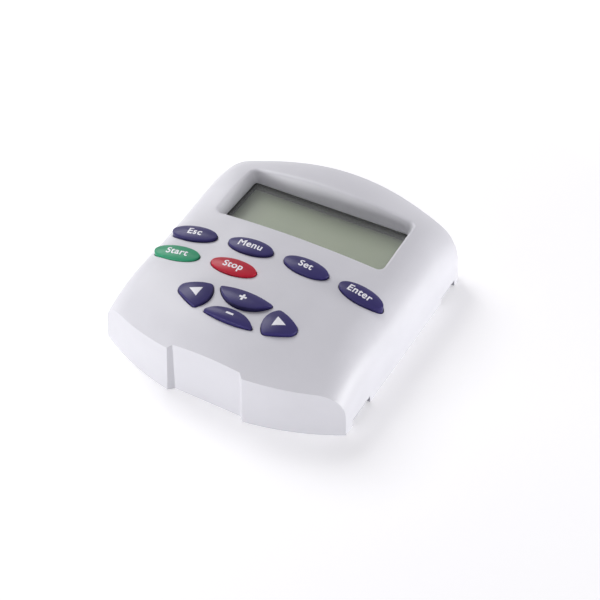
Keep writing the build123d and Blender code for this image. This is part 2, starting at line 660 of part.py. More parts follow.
def display_parts():
    """Everything from the window down to the display's own board."""
    z = lcd_levels()
    parts = {}
    lens_outline_ = rounded_rectangle(WINDOW_WIDTH + 2 * WELL_WALL, WINDOW_LENGTH + 2 * WELL_WALL,
                                      WINDOW_CORNER + WELL_WALL, WINDOW_Y)
    parts["window_lens"] = prism(lens_outline_, z["lens_low"], well_floor())
    gasket = display_plate(WELL_WALL - GASKET_INSET, z["bezel_top"], z["lens_low"])
    parts["window_gasket"] = gasket - display_plate(GASKET_LIP, 0, ROOM)
    skirt = display_plate(BEZEL_BORDER, z["board_top"], z["bezel_top"])
    skirt -= display_plate(BEZEL_BORDER - BEZEL_SHEET, 0, z["glass_top"])
    bezel = skirt - display_plate(BEZEL_SETBACK, 0, ROOM)
    half_x = WINDOW_WIDTH / 2 + BEZEL_BORDER
    half_y = WINDOW_LENGTH / 2 + BEZEL_BORDER
    tab_places = [(x, side) for x in (-half_x * 0.7, 0, half_x * 0.7) for side in (-1, 1)]
    tabs = []
    for x, side in tab_places:
        y = WINDOW_Y + side * (half_y - BEZEL_SHEET / 2)
        tabs.append((x, y))
        bezel += block(x - 1.2, x + 1.2, y - BEZEL_SHEET / 2, y + BEZEL_SHEET / 2,
                       z["board_low"] - 0.9, z["board_top"] + 0.5)
    parts["lcd_bezel"] = bezel
    grow = BEZEL_BORDER - BEZEL_SHEET - GLASS_GAP
    glass = display_plate(grow, z["ledge"], z["glass_top"])
    lower = Pos(0, WINDOW_Y) * Rectangle(WINDOW_WIDTH + 2 * grow, WINDOW_LENGTH + 2 * grow - 2 * GLASS_LEDGE)
    parts["lcd_glass"] = glass + prism(lower, z["glass_low"], z["ledge"])
    parts["lcd_backlight"] = prism(lower, z["board_top"], z["glass_low"])
    strip_y = WINDOW_LENGTH / 2 + grow - GLASS_LEDGE / 2
    strips = [block(-STRIP_LENGTH / 2, STRIP_LENGTH / 2, WINDOW_Y + side * strip_y - STRIP_WIDTH / 2,
                    WINDOW_Y + side * strip_y + STRIP_WIDTH / 2, z["board_top"], z["ledge"])
              for side in (-1, 1)]
    parts["lcd_contact_strips"] = strips
    board = Pos(0, WINDOW_Y) * Rectangle(LCD_BOARD_WIDTH, LCD_BOARD_LENGTH)
    board = prism(fillet(board.vertices(), 1.5), z["board_low"], z["board_top"])
    for x, y in REAR_BOSSES:
        board -= post(x, y, SCREW_RADIUS + BOARD_HOLE_GAP, 0, ROOM)
    for x, y in tabs:
        board -= block(x - 1.5, x + 1.5, y - 0.5, y + 0.5, 0, ROOM)
    pins, header_holes, header = lcd_header(z)
    parts["lcd_board"] = board - header_holes
    parts["lcd_header_pins"] = pins
    parts["lcd_header"] = header
    parts["lcd_driver_chips"] = [resin_cap(x, WINDOW_Y + 2, z["board_low"]) for x in (-16.0, 14.0)]
    return parts


def resin_cap(x, y, top):
    """The drop of resin over a bare chip, hanging from the board's underside."""
    return Pos(x, y, top - RESIN_HEIGHT / 2) * Cone(RESIN_RADIUS * 0.7, RESIN_RADIUS, RESIN_HEIGHT)


def pin_row(count, x, y, low, high, side):
    """Square pins in a row along X."""
    start = x - (count - 1) * HEADER_PITCH / 2
    return [block(start + i * HEADER_PITCH - side / 2, start + i * HEADER_PITCH + side / 2,
                  y - side / 2, y + side / 2, low, high) for i in range(count)]


def header_bar(count, x, y, low, high, side):
    """The plastic bar that a row of pins passes through."""
    half = count * HEADER_PITCH / 2
    bar = block(x - half, x + half, y - HEADER_DEPTH / 2, y + HEADER_DEPTH / 2, low, high)
    hole = side + 2 * SCREW_GAP
    for pin in pin_row(count, x, y, low - 1, high + 1, hole):
        bar -= pin
    return bar


def holes_for(count, x, y, side):
    """Square clearance holes for a row of pins."""
    row = pin_row(count, x, y, 0, 30, side + 2 * SCREW_GAP)
    return row[0] + row[1:]


def lcd_header(z):
    """Pins, holes and bar between the display board and the main board."""
    count, x, y = LCD_HEADER
    low = MAIN_BOARD_TOP - BOARD_THICKNESS - 0.8
    pins = pin_row(count, x, y, low, z["board_top"] + 0.6, PIN_SIDE)
    bar = header_bar(count, x, y, MAIN_BOARD_TOP, MAIN_BOARD_TOP + HEADER_BODY, PIN_SIDE)
    return pins, holes_for(count, x, y, PIN_SIDE), bar


# ------------------------------------------------------------------ keypad stack
def keypad_parts(keys):
    """Key board, contacts, mat, and the header down to the main board."""
    parts = {}
    low = KEY_BOARD_TOP - BOARD_THICKNESS
    form = body_form(WALL + BOARD_INSET)
    board = form & block(-ROOM, ROOM, KEY_BOARD_FRONT_Y, KEY_BOARD_BACK_Y, low, KEY_BOARD_TOP)
    for x, y in FRONT_BOSSES + MIDDLE_BOSSES:
        board -= post(x, y, SCREW_RADIUS + BOARD_HOLE_GAP, 0, ROOM)
    count, x, y = KEY_HEADER
    parts["key_board"] = board - holes_for(count, x, y, PIN_SIDE)
    pin_low = MAIN_BOARD_TOP - BOARD_THICKNESS - 0.8
    parts["key_header_pins"] = pin_row(count, x, y, pin_low, KEY_BOARD_TOP + 0.5, PIN_SIDE)
    parts["key_header"] = header_bar(count, x, y, MAIN_BOARD_TOP, low, PIN_SIDE)
    contacts = []
    for key in keys.values():
        contacts.append(post(key.x, key.y, CONTACT_RADIUS, KEY_BOARD_TOP, KEY_BOARD_TOP + CONTACT_THICKNESS))
    parts["key_contacts"] = contacts
    mat_top = KEY_BOARD_TOP + MAT_THICKNESS
    mat = block(-ROOM, ROOM, y + HEADER_DEPTH, KEY_BOARD_BACK_Y - 0.8, KEY_BOARD_TOP, mat_top)
    opening_inset = KEY_FOOT_INSET - MAT_KEY_GAP
    for key in keys.values():
        collar = key.outline(MAT_COLLAR_WALL - opening_inset)
        mat += prism(collar, KEY_BOARD_TOP, KEY_BOARD_TOP + MAT_COLLAR_HEIGHT)
    for key in keys.values():
        mat -= prism(key.outline(-opening_inset), 0, ROOM)
    for bx, by in FRONT_BOSSES + MIDDLE_BOSSES:
        mat -= post(bx, by, BOSS_RADIUS + 0.4, 0, ROOM)
    parts["key_mat"] = mat & body_form(WALL + 0.4)
    return parts


# ------------------------------------------------------------------ main board and fasteners
def hexagon(x, y, low, high):
    """A hexagonal standoff body."""
    return prism(Pos(x, y) * RegularPolygon(STANDOFF_RADIUS, 6), low, high)


def standoff_bore(top):
    """Depth of the bore in a standoff that ends at top, leaving a floor under its stud."""
    return min(STANDOFF_BORE_DEPTH, top - MAIN_BOARD_TOP - STANDOFF_FLOOR)


def standoffs(places, top):
    """Hexagonal standoffs hung from the housing, with a stud up and a bore down."""
    solids = []
    for x, y in places:
        spacer = hexagon(x, y, MAIN_BOARD_TOP, top)
        spacer += post(x, y, SCREW_RADIUS, top, top + BOARD_THICKNESS + STUD_LENGTH)
        solids.append(spacer - post(x, y, SCREW_RADIUS + SCREW_GAP, 0, MAIN_BOARD_TOP + standoff_bore(top)))
    return solids


def screws(places, seat, reach):
    """Pan-head screws driven upwards, their heads under the seat."""
    solids = []
    for x, y in places:
        head = post(x, y, SCREW_HEAD_RADIUS, seat - SCREW_HEAD, seat)
        solids.append(head + post(x, y, SCREW_RADIUS, seat, seat + reach))
    return solids


def main_board():
    """The lower board, with room for the snap hooks and holes for its screws and pins."""
    low = MAIN_BOARD_TOP - BOARD_THICKNESS
    form = body_form(WALL + BOARD_INSET)
    board = form & block(-ROOM, ROOM, -ROOM, MAIN_BOARD_BACK_Y, low, MAIN_BOARD_TOP)
    reach = HOOK_STANDOFF + HOOK_THICKNESS + HOOK_CLEARANCE
    for centre in SLOT_CENTRES:
        inner = inner_wall_x(centre - HOOK_WIDTH / 2, MAIN_BOARD_TOP) - reach
        board -= both_sides(block(inner, ROOM, centre - HOOK_WIDTH / 2 - 1, centre + HOOK_WIDTH / 2 + 1, 0, ROOM))
    for x, y in FRONT_BOSSES + REAR_BOSSES:
        board -= post(x, y, SCREW_RADIUS + BOARD_HOLE_GAP, 0, ROOM)
    for count, x, y in (LCD_HEADER, KEY_HEADER):
        board -= holes_for(count, x, y, PIN_SIDE)
    return board


def socket_parts():
    """The plug socket on the back edge of the main board, and its contact pins."""
    half = socket_half_width()
    top = MAIN_BOARD_TOP + SOCKET_HEIGHT
    shell = block(-half, half, SOCKET_BACK_Y, SOCKET_NOSE_Y, MAIN_BOARD_TOP, top)
    inner = half - SOCKET_WALL
    shell -= block(-inner, inner, SOCKET_BACK_Y + SOCKET_FLOOR, ROOM, MAIN_BOARD_TOP + SOCKET_WALL, top - SOCKET_WALL)
    pins = []
    mid_z = (MAIN_BOARD_TOP + top) / 2
    side = SOCKET_PIN_SIDE
    for i in range(SOCKET_WAYS):
        x = (i - (SOCKET_WAYS - 1) / 2) * SOCKET_PITCH
        shell -= block(x - side / 2 - SCREW_GAP, x + side / 2 + SCREW_GAP, 0, SOCKET_BACK_Y + SOCKET_FLOOR + 1,
                       mid_z - side / 2 - SCREW_GAP, mid_z + side / 2 + SCREW_GAP)
        pin = block(x - side / 2, x + side / 2, SOCKET_BACK_Y - side - 0.2,
                    SOCKET_BACK_Y + SOCKET_FLOOR + SOCKET_PIN_REACH, mid_z - side / 2, mid_z + side / 2)
        pin += block(x - side / 2, x + side / 2, SOCKET_BACK_Y - side - 0.2, SOCKET_BACK_Y - 0.2,
                     MAIN_BOARD_TOP, mid_z)
        pins.append(pin)
    return {"socket_shell": shell, "socket_pins": pins}


def components():
    """The larger components on the main board."""
    z = MAIN_BOARD_TOP
    parts = {}
    chip = block(-8, 6, -24, -10, z + 0.2, z + 1.8)
    for i in range(6):
        place = -8 + 14 * (i + 0.5) / 6
        chip += block(place - 0.3, place + 0.3, -25.2, -8.8, z, z + 0.8)
        chip += block(-9.2, 7.2, -16 + place - 0.3, -16 + place + 0.3, z, z + 0.8)
    parts["controller_chip"] = chip
    crystal = Pos(16, -17) * Rot(0, 0, 90) * SlotOverall(11.0, 4.6)
    parts["crystal"] = prism(crystal, z, z + 3.6)
    cans = []
    for y in (-24.0, -14.0):
        cans.append(post(28, y, 3.2, z, z + 7.5))
    parts["capacitors"] = cans
    sounder = post(-26, -14, 7.0, z, z + 6.5) - post(-26, -14, 1.2, z + 2, z + 10)
    parts["sounder"] = sounder
    regulator = block(-31, -25, -32, -25.5, z, z + 2.3) + block(-33.4, -31, -31.4, -26.1, z, z + 0.6)
    parts["voltage_regulator"] = regulator
    return parts


# ------------------------------------------------------------------ assembly
def main():
    """Build every node and write it to parts/."""
    os.makedirs("parts", exist_ok=True)
    ground = slab(0, 100)
    outer = body_form(0) & ground
    cavity = body_form(WALL)
    keys = key_layout()
    write("front_housing", front_housing(outer, cavity, keys))
    write("back_cover", back_cover(outer))
    for name, shape in display_parts().items():
        write(name, shape)
    for name, shape in keypad_parts(keys).items():
        write(name, shape)
    limit = key_room(keys)
    pill_low, pill_high = pill_levels()
    for name, key in keys.items():
        write("key_" + name, key_solid(key, limit))
        write("pill_" + name, post(key.x, key.y, PILL_RADIUS, pill_low, pill_high))
    write("main_board", main_board())
    z = lcd_levels()
    key_low = KEY_BOARD_TOP - BOARD_THICKNESS
    main_low = MAIN_BOARD_TOP - BOARD_THICKNESS
    write("standoffs_rear", standoffs(REAR_BOSSES, z["board_low"]))
    write("standoffs_front", standoffs(FRONT_BOSSES, key_low))
    write("key_board_screws", screws(MIDDLE_BOSSES, key_low, BOARD_THICKNESS + STUD_LENGTH))
    main_reach = BOARD_THICKNESS + standoff_bore(z["board_low"]) - SCREW_END_GAP
    write("main_board_screws", screws(FRONT_BOSSES + REAR_BOSSES, main_low, main_reach))
    for name, shape in socket_parts().items():
        write(name, shape)
    for name, shape in components().items():
        write(name, shape)


if __name__ == "__main__":
    main()
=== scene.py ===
"""Looks of the control keypad: moulded shell, silicone keys with printed legends, display and stage.

Laid out as an add-on and run as a script. Metres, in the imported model's frame.
"""
import json
import math

import bpy
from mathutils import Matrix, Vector
from mathutils.geometry import delaunay_2d_cdt


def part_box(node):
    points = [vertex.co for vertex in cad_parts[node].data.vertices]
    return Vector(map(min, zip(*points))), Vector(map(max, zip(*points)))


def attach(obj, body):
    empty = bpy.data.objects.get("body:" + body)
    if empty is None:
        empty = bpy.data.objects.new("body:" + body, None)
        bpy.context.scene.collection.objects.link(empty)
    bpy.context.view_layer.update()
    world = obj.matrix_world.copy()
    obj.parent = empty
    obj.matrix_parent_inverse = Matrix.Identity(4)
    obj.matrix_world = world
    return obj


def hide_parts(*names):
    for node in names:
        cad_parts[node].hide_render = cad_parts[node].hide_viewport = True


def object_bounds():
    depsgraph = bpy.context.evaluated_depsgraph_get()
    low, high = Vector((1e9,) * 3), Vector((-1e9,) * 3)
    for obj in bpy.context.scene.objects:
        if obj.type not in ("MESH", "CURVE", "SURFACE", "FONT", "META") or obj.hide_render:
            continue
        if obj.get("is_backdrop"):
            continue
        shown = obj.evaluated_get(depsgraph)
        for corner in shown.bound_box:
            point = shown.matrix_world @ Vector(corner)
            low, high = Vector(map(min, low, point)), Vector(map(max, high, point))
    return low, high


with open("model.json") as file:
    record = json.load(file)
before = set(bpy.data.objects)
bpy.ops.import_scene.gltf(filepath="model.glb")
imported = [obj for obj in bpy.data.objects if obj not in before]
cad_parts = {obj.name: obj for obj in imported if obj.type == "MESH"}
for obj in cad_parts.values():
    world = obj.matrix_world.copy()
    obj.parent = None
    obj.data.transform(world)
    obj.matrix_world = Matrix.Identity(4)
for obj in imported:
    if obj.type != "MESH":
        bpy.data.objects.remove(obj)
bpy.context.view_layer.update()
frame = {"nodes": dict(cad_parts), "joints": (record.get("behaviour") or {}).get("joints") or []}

bl_info = {
    "name": "Control keypad",
    "version": (1, 0, 0),
    "blender": (4, 5, 0),
    "location": "3D View > Sidebar > Keypad",
    "description": "Finishes and stages a low arched control keypad",
    "category": "Object",
}

MM = 0.001
ROOT = "housing"

# Legends: what is printed on each key. Words are set in type, signs are drawn.
WORDS = {"esc": "Esc", "menu": "Menu", "set": "Set", "enter": "Enter", "start": "Start", "stop": "Stop"}
SIGNS = ("left", "right", "plus", "minus")
KEYS = tuple(WORDS) + SIGNS

# Letters are worked out at a type size of 1, so their lengths are shares of the type size.
TYPE_STEPS = 6               # straight steps in each curve of the type
TYPE_SPACING = 4             # extra room between letters, in times the boldness
TYPE_GRID = 0.035            # spacing of the points that fill a letter
FIRST_LETTER = 0.35          # this far from its start, a word is still in its first letter
SAME_POINT = 1e-4            # points of an outline nearer than this are one
SHARPEST = 0.6               # holds back a sharp outer corner when a letter grows: more keeps it shorter
DOUBLED_BACK = 0.02          # the same for a corner whose sides double back
STILL_CLEAR = 0.98           # share of the growth that a grown point must keep from the old sides
ALONGSIDE = 1e-9             # lines that turn from each other by less than this never cross

# Signs, as shares of their size but for the grid.
SIGN_GRID = 0.2 * MM         # spacing of the points that fill a sign
HEAD_REACH = 0.45            # middle of an arrow head to its tip
ARM = 0.3                    # middle of a plus or a minus to its end
HALF_STROKE = 0.085

# Filling and printing.
TRIANGLES_INSIDE = 1         # the kind of triangulation that fills outlines with triangles
SAME_CORNER = 1e-6           # corners nearer than this are one in the triangulation
EDGE_ROOM = 0.4              # least distance of a filling point from a side, in grid steps
PRINT_DROP = 2 * MM          # the print is laid on the key from this far above it
RAY_LENGTH = 50 * MM         # how far down the key is looked for
INK_BODY = 3                 # thickness of the print in times its height: the rest is sunk in the key

JOIN_DISTANCE = 0.002 * MM   # corners of loose triangles nearer than this are one
GRID_SHIFT = 20              # cells by which the display's grid is moved, to lie on its positive side
FLOOR_REACH = 6              # middle of the floor to its side, in diagonals of the object
SENSOR_WIDTH = 36.0          # millimetres
NEAREST_SEEN = 10 * MM       # nothing nearer to the camera shows


# ------------------------------------------------------------------ settings
class ShellSettings(bpy.types.PropertyGroup):
    """The moulded front and back."""

    colour: bpy.props.StringProperty(
        name="Colour", description="Colour of the moulded plastic, as sRGB hex", default="#D3D3D8")
    back_colour: bpy.props.StringProperty(
        name="Back colour", description="Colour of the snap-in back, as sRGB hex", default="#C3C4C9")
    grain: bpy.props.FloatProperty(
        name="Grain", description="Size of the spark-eroded grain", default=0.45 * MM, unit="LENGTH")
    grain_depth: bpy.props.FloatProperty(
        name="Grain depth", description="Height of the grain", default=0.006 * MM, unit="LENGTH", precision=6)
    sharp_angle: bpy.props.FloatProperty(
        name="Sharp angle", description="Edges that turn by more than this stay sharp",
        default=math.radians(28), subtype="ANGLE")
    edge_break: bpy.props.FloatProperty(
        name="Edge break", description="Rounding of the moulding's crisp edges", default=0.22 * MM,
        unit="LENGTH", precision=6)


class KeySettings(bpy.types.PropertyGroup):
    """The silicone keys and their legends."""

    violet: bpy.props.StringProperty(
        name="Violet", description="Colour of the setting keys, as sRGB hex", default="#302A60")
    green: bpy.props.StringProperty(
        name="Green", description="Colour of the start key, as sRGB hex", default="#2F9069")
    red: bpy.props.StringProperty(
        name="Red", description="Colour of the stop key, as sRGB hex", default="#AE162E")
    legend: bpy.props.StringProperty(
        name="Legend", description="Colour of the printed legends, as sRGB hex", default="#EDEDF2")
    cap_height: bpy.props.FloatProperty(
        name="Cap height", description="Height of the legends' capitals", default=2.9 * MM, unit="LENGTH")
    boldness: bpy.props.FloatProperty(
        name="Boldness", description="Extra weight on each side of a stroke, as a share of the letter size",
        default=0.021)
    sign_size: bpy.props.FloatProperty(
        name="Sign size", description="Side of the arrow signs", default=4.5 * MM, unit="LENGTH")
    ink: bpy.props.FloatProperty(
        name="Ink", description="Height of the print above the key", default=0.03 * MM, unit="LENGTH",
        precision=6)
    mat_clearance: bpy.props.FloatProperty(
        name="Mat clearance", description="Flange to the mat's collar with the key all the way down",
        default=0.06 * MM, unit="LENGTH", precision=6)


class DisplaySettings(bpy.types.PropertyGroup):
    """The display under its window."""

    glass: bpy.props.StringProperty(
        name="Glass", description="Colour of the blank display, as sRGB hex", default="#8F9A7C")
    cell_width: bpy.props.FloatProperty(
        name="Cell width", description="Character pitch across the display", default=3.55 * MM, unit="LENGTH")
    cell_height: bpy.props.FloatProperty(
        name="Cell height", description="Character pitch down the display", default=5.35 * MM, unit="LENGTH")


class StageSettings(bpy.types.PropertyGroup):
    """Floor, lamps and camera."""

    floor: bpy.props.StringProperty(
        name="Floor", description="Colour of the floor, as sRGB hex", default="#F4F4F5")
    camera_yaw: bpy.props.FloatProperty(
        name="Camera yaw", description="Camera's turn towards the right of the front",
        default=math.radians(28.61), subtype="ANGLE")
    camera_pitch: bpy.props.FloatProperty(
        name="Camera pitch", description="Camera's height above the horizon",
        default=math.radians(44.25), subtype="ANGLE")
    camera_distance: bpy.props.FloatProperty(
        name="Camera distance", description="Camera to the point it looks at", default=416.5 * MM,
        unit="LENGTH")
    camera_lens: bpy.props.FloatProperty(
        name="Camera lens", description="Focal length in millimetres on a 36 mm sensor", default=67.79)
    camera_target: bpy.props.FloatVectorProperty(
        name="Camera target", description="Point on the floor that the camera looks at",
        default=(3.89 * MM, 4.58 * MM, 0.0), subtype="TRANSLATION")


def settings(name):
    """One of the scene's setting groups."""
    return getattr(bpy.context.scene, "keypad_" + name)


# ------------------------------------------------------------------ colour and nodes
def tone(code):
    """Linear RGBA of an sRGB hex colour."""
    parts = [int(code.lstrip("#")[i:i + 2], 16) / 255 for i in (0, 2, 4)]
    return (*[p / 12.92 if p <= 0.04045 else ((p + 0.055) / 1.055)**2.4 for p in parts], 1.0)


def node(tree, kind, links=None, values=None, **options):
    """Add a node: options are its properties, values its inputs, links the sockets that feed it."""
    made = tree.nodes.new(kind)
    for key, value in options.items():
        setattr(made, key, value)
    for key, value in (values or {}).items():
        made.inputs[key].default_value = value
    for key, source in (links or {}).items():
        tree.links.new(source, made.inputs[key])
    return made


def material(name, values):
    """A new material with one Principled shader. Returns material, tree and shader."""
    made = bpy.data.materials.new(name)
    made.use_nodes = True
    tree = made.node_tree
    tree.nodes.clear()
    shader = node(tree, "ShaderNodeBsdfPrincipled", values=values)
    node(tree, "ShaderNodeOutputMaterial", links={"Surface": shader.outputs[0]})
    return made, tree, shader


def pattern(tree, kind, size=1.0, values=None, **options):
    """A texture of any kind on the object coordinates, in metres, with features about this size."""
    place = node(tree, "ShaderNodeTexCoord")
    return node(tree, kind, links={"Vector": place.outputs["Object"]},
                values={"Scale": 1.0 / size, **(values or {})}, **options)


def mottle(tree, target, factor, low, high, span=(0.0, 1.0)):
    """Let the colour at a socket wander from low to high, over this span of a pattern."""
    ramp = node(tree, "ShaderNodeValToRGB", links={"Fac": factor})
    for stop, position, colour in zip(ramp.color_ramp.elements, span, (low, high)):
        stop.position = position
        stop.color = colour
    tree.links.new(ramp.outputs["Color"], target)


def uneven_gloss(tree, shader, factor, low, high):
    """Let the roughness of a shader wander from low to high with a pattern."""
    spread = node(tree, "ShaderNodeMapRange", links={"Value": factor}, values={"To Min": low, "To Max": high})
    tree.links.new(spread.outputs["Result"], shader.inputs["Roughness"])


def relief(tree, shader, height, depth, strength=1.0, under=None):
    """Raise a pattern off the skin by this depth in metres, on top of the normals under it."""
    links = {"Height": height, "Normal": under} if under else {"Height": height}
    bump = node(tree, "ShaderNodeBump", links=links, values={"Strength": strength, "Distance": depth})
    tree.links.new(bump.outputs["Normal"], shader.inputs["Normal"])


def shade(colour, share):
    """A linear colour made darker or lighter by a share."""
    return (*[min(c * share, 1.0) for c in colour[:3]], 1.0)


# ------------------------------------------------------------------ finishes
def moulded_abs(name, colour, grain, depth, edge, roughness=0.46):
    """ABS, injection moulded in a spark-eroded tool: even satin skin, soft broad highlights, broken edges."""
    base = tone(colour)
    made, tree, shader = material(name, {"Roughness": roughness, "IOR": 1.53, "Specular IOR Level": 0.45})
    # mottling of the skin where the flow fronts cooled, some 14 mm across and barely visible
    flow = pattern(tree, "ShaderNodeTexNoise", 14 * MM, {"Detail": 3.0})
    mottle(tree, shader.inputs["Base Color"], flow.outputs["Fac"],
           shade(base, 0.985), shade(base, 1.015), (0.35, 0.65))
    # the real grain is about 0.1 mm, too fine to show, so it is drawn about four times as coarse
    fine = pattern(tree, "ShaderNodeTexNoise", grain, {"Detail": 3.0, "Roughness": 0.6})
    uneven_gloss(tree, shader, fine.outputs["Fac"], roughness - 0.05, roughness + 0.05)
    rounded = node(tree, "ShaderNodeBevel", values={"Radius": edge}, samples=4)
    relief(tree, shader, fine.outputs["Fac"], depth, under=rounded.outputs["Normal"])
    return made


def silicone(name, colour):
    """Silicone rubber, pressed in a polished tool: satin, with a faint bloom on its colour."""
    base = tone(colour)
    made, tree, shader = material(name, {"Roughness": 0.34, "IOR": 1.41, "Specular IOR Level": 0.3})
    bloom = pattern(tree, "ShaderNodeTexNoise", 2.2 * MM, {"Detail": 4.0})
    mottle(tree, shader.inputs["Base Color"], bloom.outputs["Fac"],
           shade(base, 0.96), shade(base, 1.06), (0.3, 0.7))
    # a faint orange peel, some 0.5 mm across
    peel = pattern(tree, "ShaderNodeTexNoise", 0.5 * MM)
    uneven_gloss(tree, shader, peel.outputs["Fac"], 0.31, 0.41)
    relief(tree, shader, peel.outputs["Fac"], 0.004 * MM)
    return made


def printed_ink(name, colour):
    """Screen-printed silicone ink: opaque, satin, with slight speckle from the mesh."""
    base = tone(colour)
    made, tree, shader = material(name, {"Roughness": 0.5, "IOR": 1.45})
    speckle = pattern(tree, "ShaderNodeTexNoise", 0.3 * MM)
    mottle(tree, shader.inputs["Base Color"], speckle.outputs["Fac"], shade(base, 0.95), base, (0.3, 0.6))
    return made


def clear_acrylic(name):
    """Cast acrylic sheet, polished: nearly invisible head on, a clean mirror of the room at a slant."""
    made, tree, shader = material(name, {
        "Base Color": tone("#F2F6F2"), "Roughness": 0.03, "IOR": 1.49, "Alpha": 0.10,
        "Specular IOR Level": 0.9})
    haze = pattern(tree, "ShaderNodeTexNoise", 9 * MM)
    uneven_gloss(tree, shader, haze.outputs["Fac"], 0.02, 0.06)
    return made


def display_glass(name, colour, cell, middle):
    """Reflective liquid-crystal glass, switched off: grey-green, its character cells just showing."""
    base = tone(colour)
    made, tree, shader = material(name, {
        "Roughness": 0.3, "IOR": 1.52, "Coat Weight": 0.5, "Coat Roughness": 0.05})
    place = node(tree, "ShaderNodeTexCoord")
    shift = (cell[0] * GRID_SHIFT - middle[0], cell[1] * GRID_SHIFT - middle[1], 0.0)
    centred = node(tree, "ShaderNodeMapping", links={"Vector": place.outputs["Object"]},
                   values={"Location": shift})
    cells = node(tree, "ShaderNodeTexBrick", links={"Vector": centred.outputs["Vector"]},
                 values={"Color1": base, "Color2": shade(base, 0.985), "Mortar": shade(base, 1.03),
                         "Scale": 1.0, "Mortar Size": 0.3 * MM, "Mortar Smooth": 0.4,
                         "Brick Width": cell[0], "Row Height": cell[1]}, offset=0.0)
    cloud = pattern(tree, "ShaderNodeTexNoise", 22 * MM, {"Detail": 1.0})
    # on this node, inputs 6 and 7 and output 2 are the colours
    tint = node(tree, "ShaderNodeMix", data_type="RGBA", blend_type="MULTIPLY",
                links={6: cells.outputs["Color"]}, values={0: 1.0})
    mottle(tree, tint.inputs[7], cloud.outputs["Fac"], (0.93, 0.95, 0.95, 1), (1, 1, 1, 1), (0.35, 0.65))
    tree.links.new(tint.outputs[2], shader.inputs["Base Color"])
    return made


def black_enamel(name):
    """Stoved black enamel on sheet steel: even, low gloss, a trace of orange peel."""
    made, tree, shader = material(name, {"Roughness": 0.42, "IOR": 1.5})
    peel = pattern(tree, "ShaderNodeTexNoise", 0.8 * MM)
    mottle(tree, shader.inputs["Base Color"], peel.outputs["Fac"], tone("#141416"), tone("#1E1E21"))
    relief(tree, shader, peel.outputs["Fac"], 0.004 * MM)
    return made


def closed_foam(name):
    """Closed-cell neoprene foam, die cut: dead black with cells of about 0.3 mm."""
    made, tree, shader = material(name, {"Roughness": 0.95, "Specular IOR Level": 0.2})
    pores = pattern(tree, "ShaderNodeTexVoronoi", 0.3 * MM)
    mottle(tree, shader.inputs["Base Color"], pores.outputs["Distance"], tone("#0B0B0C"), tone("#1B1B1D"))
    relief(tree, shader, pores.outputs["Distance"], 0.05 * MM)
    return made


def grey_rubber(name, low, high, roughness):
    """Filled silicone or rubber, as moulded: matte, slightly uneven in tone."""
    made, tree, shader = material(name, {"Roughness": roughness, "IOR": 1.45})
    patches = pattern(tree, "ShaderNodeTexNoise", 3 * MM, {"Detail": 3.0})
    mottle(tree, shader.inputs["Base Color"], patches.outputs["Fac"], tone(low), tone(high), (0.3, 0.7))
    return made


def glass_epoxy(name):
    """Glass-epoxy laminate under green solder mask: glossy, its weave and copper tracks showing through."""
    made, tree, shader = material(name, {
        "Roughness": 0.28, "IOR": 1.55, "Coat Weight": 0.4, "Coat Roughness": 0.1})
    # tracks at the usual 2.54 mm grid
    tracks = pattern(tree, "ShaderNodeTexBrick", values={
        "Color1": tone("#1C5B38"), "Color2": tone("#17492E"), "Mortar": tone("#2F7A4C"),
        "Mortar Size": 0.2 * MM, "Brick Width": 7.62 * MM, "Row Height": 2.54 * MM}, offset=0.5)
    tree.links.new(tracks.outputs["Color"], shader.inputs["Base Color"])
    weave = pattern(tree, "ShaderNodeTexWave", 3.0 * MM, bands_direction="DIAGONAL")
    relief(tree, shader, weave.outputs["Fac"], 0.01 * MM, strength=0.4)
    return made


def moulded_black(name, colour="#17171A", roughness=0.5):
    """Glass-filled nylon or moulding epoxy: dull dark skin with fine fibres at the surface."""
    base = tone(colour)
    made, tree, shader = material(name, {"Roughness": roughness, "IOR": 1.53})
    fibre = pattern(tree, "ShaderNodeTexNoise", 0.4 * MM, {"Detail": 4.0})
    mottle(tree, shader.inputs["Base Color"], fibre.outputs["Fac"],
           shade(base, 0.8), shade(base, 1.3), (0.3, 0.7))
    relief(tree, shader, fibre.outputs["Fac"], 0.005 * MM)
    return made


def bright_metal(name, colour, roughness):
    """Plated or turned metal: bright, with fine marks from the tool or the bath."""
    base = tone(colour)
    made, tree, shader = material(name, {"Metallic": 1.0, "Roughness": roughness})
    marks = pattern(tree, "ShaderNodeTexNoise", 0.6 * MM, {"Detail": 4.0})
    mottle(tree, shader.inputs["Base Color"], marks.outputs["Fac"],
           shade(base, 0.9), shade(base, 1.05), (0.3, 0.7))
    uneven_gloss(tree, shader, marks.outputs["Fac"], roughness * 0.8, roughness * 1.3)
    return made


def milky_guide(name):
    """Acrylic light guide with white backing: milky and glossy."""
    made, tree, shader = material(name, {"Roughness": 0.25, "IOR": 1.49, "Subsurface Weight": 0.2})
    dots = pattern(tree, "ShaderNodeTexNoise", 1.2 * MM)
    mottle(tree, shader.inputs["Base Color"], dots.outputs["Fac"], tone("#D9DBD4"), tone("#E8E9E3"))
    return made


